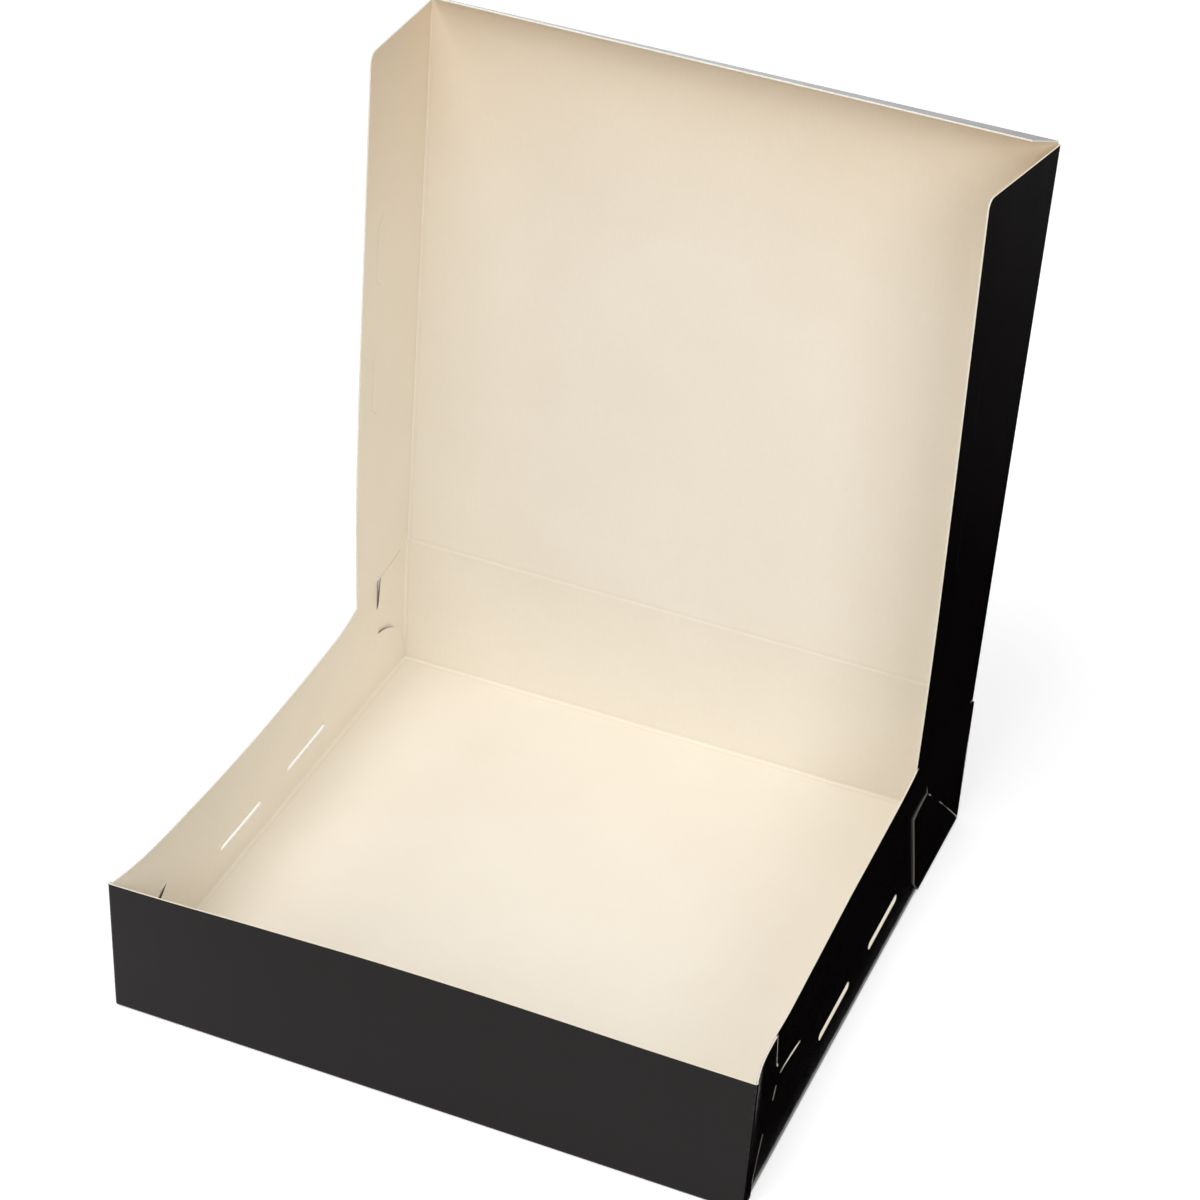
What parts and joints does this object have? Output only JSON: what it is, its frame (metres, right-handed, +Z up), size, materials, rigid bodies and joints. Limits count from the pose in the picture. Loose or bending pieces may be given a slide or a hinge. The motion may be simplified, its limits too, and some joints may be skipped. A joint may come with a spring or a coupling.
{
  "type": "cake box",
  "caption": "Shallow square cake box folded from one sheet of board, with corner tabs, lock slots, a hinged lid and folding lid flaps.",
  "frame": {"origin": "centre of the base's underside, on the surface that the box stands on", "axes": "+Z up, -Y towards the front wall, +X to the right seen from the front; the lid is hinged along the back wall at +Y"},
  "size_m": [0.3, 0.3101, 0.3708],
  "materials": {
    "board": "gloss black print outside, cream uncoated inside"
  },
  "bodies": {
    "tray": {"tray": "board"},
    "lid": {"lid": "board"},
    "left_flap": {"left_flap": "board"},
    "right_flap": {"right_flap": "board"},
    "front_flap": {"front_flap": "board"}
  },
  "joints": [
    {"name": "lid_hinge", "type": "hinge", "parent": "tray", "child": "lid", "pos_m": [0, 0.14965, 0.07265], "axis": [1, 0, 0], "range_deg": [-88, 92]},
    {"name": "left_flap_fold", "type": "hinge", "parent": "lid", "child": "left_flap", "pos_m": [-0.14785, 0.14965, 0.07265], "axis": [0, 0.0349, 0.9994], "range_deg": [-94, 21]},
    {"name": "right_flap_fold", "type": "hinge", "parent": "lid", "child": "right_flap", "pos_m": [0.14785, 0.14965, 0.07265], "axis": [0, -0.0349, -0.9994], "range_deg": [-100, 15]},
    {"name": "front_flap_fold", "type": "hinge", "parent": "lid", "child": "front_flap", "pos_m": [0, 0.15979, 0.36298], "axis": [1, 0, 0], "range_deg": [-70, 20]}
  ]
}
